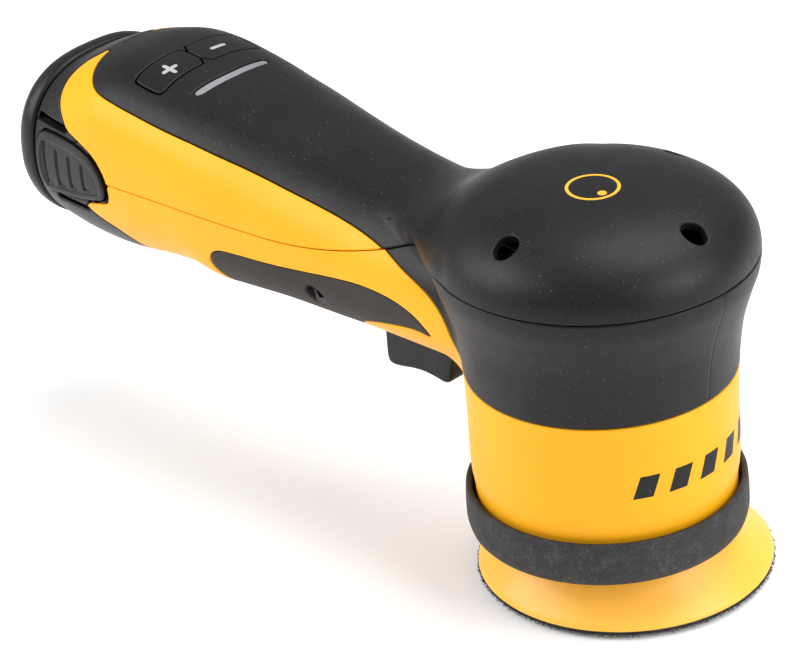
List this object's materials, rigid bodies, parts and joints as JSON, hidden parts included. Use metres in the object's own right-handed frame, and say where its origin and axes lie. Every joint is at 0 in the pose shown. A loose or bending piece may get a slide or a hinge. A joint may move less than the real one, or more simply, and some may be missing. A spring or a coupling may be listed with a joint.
{
  "type": "orbital sander",
  "caption": "Cordless orbital sander with a stick handle, a slide-in battery, a round drive head and a small hook-faced backing pad on an eccentric spindle.",
  "frame": {"origin": "centre of the pad mount: the point where the motor axis crosses the plane of the pad's working face", "axes": "+Z along the motor axis from the pad to the cap, +X to the front of the tool, -X along the handle to the battery, Y across"},
  "size_m": [0.2322, 0.0855, 0.112],
  "materials": {
    "yellow_plastic": "satin moulded plastic",
    "soft_black": "fine matte soft-touch overmould",
    "soft_grey": "matte soft grip",
    "skirt_rubber": "dusty moulded rubber",
    "black_plastic": "fine textured plastic",
    "pad_rubber": "slightly translucent polyurethane",
    "hook_fabric": "small hooks on a woven base",
    "plate_foil": "blank satin foil",
    "light_lens": "translucent light guide",
    "circuit_board": "solder mask",
    "steel": "ground steel",
    "alloy": "machined",
    "lamination": "stacked laminations",
    "magnet": "nickel plated",
    "copper": "enamelled wire",
    "brass": "machined",
    "dark_screw": "black oxide",
    "lead_jacket": "silicone lead",
    "cell_wrap": "shrink wrap"
  },
  "bodies": {
    "housing": {"lower_shell": "yellow_plastic", "upper_shell": "yellow_plastic", "top_cover": "soft_black", "head_band": "soft_black", "grip_inlay": "soft_grey", "skirt_ring": "skirt_rubber", "rating_plate": "plate_foil", "light_bar": "light_lens", "key_board": "circuit_board", "controller_board": "circuit_board", "trigger_switch": "black_plastic", "trigger_bracket": "black_plastic", "trigger_pin": "steel", "trigger_spring": "steel", "terminal_block": "black_plastic", "leads": "lead_jacket", "cap_screws": "dark_screw", "handle_screws": "dark_screw", "motor_mount": "alloy", "motor_end_bell": "alloy", "stator": "lamination", "windings": "copper", "upper_bearing": "steel", "lower_bearing": "steel"},
    "drive": {"motor_shaft": "steel", "rotor_core": "lamination", "rotor_magnets": "magnet", "eccentric": "alloy", "counterweight": "brass", "spindle_bearing": "steel"},
    "pad": {"spindle": "steel", "spindle_screw": "dark_screw", "pad_hub": "black_plastic", "pad_screw": "dark_screw", "pad_body": "pad_rubber", "hook_face": "hook_fabric"},
    "trigger": {"trigger": "black_plastic"},
    "key_plus": {"key_plus": "soft_black"},
    "key_minus": {"key_minus": "soft_black"},
    "battery": {"battery_case": "black_plastic", "battery_end_cap": "black_plastic", "battery_cells": "cell_wrap", "battery_board": "circuit_board", "battery_contacts": "brass"},
    "latch_left": {"latch_left": "black_plastic"},
    "latch_right": {"latch_right": "black_plastic"}
  },
  "joints": [
    {"name": "motor_spin", "type": "hinge", "parent": "housing", "child": "drive", "pos_m": [0, 0, 0.03], "axis": [0, 0, 1], "continuous": true},
    {"name": "pad_spin", "type": "hinge", "parent": "drive", "child": "pad", "pos_m": [0, 0.006, 0.02], "axis": [0, 0, 1], "continuous": true},
    {"name": "trigger_pull", "type": "hinge", "parent": "housing", "child": "trigger", "pos_m": [-0.046, 0, 0.061], "axis": [0, 1, 0], "range_deg": [0, 6], "stiffness_Nm_per_rad": 0.4, "springref_deg": -6.88, "deforming": ["trigger_spring"]},
    {"name": "plus_press", "type": "slide", "parent": "housing", "child": "key_plus", "axis": [0, 0, -1], "range_m": [0, 0.0008], "stiffness_N_per_m": 1500, "springref_m": -0.0004},
    {"name": "minus_press", "type": "slide", "parent": "housing", "child": "key_minus", "axis": [0, 0, -1], "range_m": [0, 0.0008], "stiffness_N_per_m": 1500, "springref_m": -0.0004},
    {"name": "battery_slide", "type": "slide", "parent": "housing", "child": "battery", "axis": [-1, 0, 0], "range_m": [0, 0.08]},
    {"name": "latch_left_press", "type": "slide", "parent": "battery", "child": "latch_left", "axis": [0, -1, 0], "range_m": [0, 0.0015], "stiffness_N_per_m": 3000, "springref_m": -0.0005},
    {"name": "latch_right_press", "type": "slide", "parent": "battery", "child": "latch_right", "axis": [0, 1, 0], "range_m": [0, 0.0015], "stiffness_N_per_m": 3000, "springref_m": -0.0005}
  ]
}
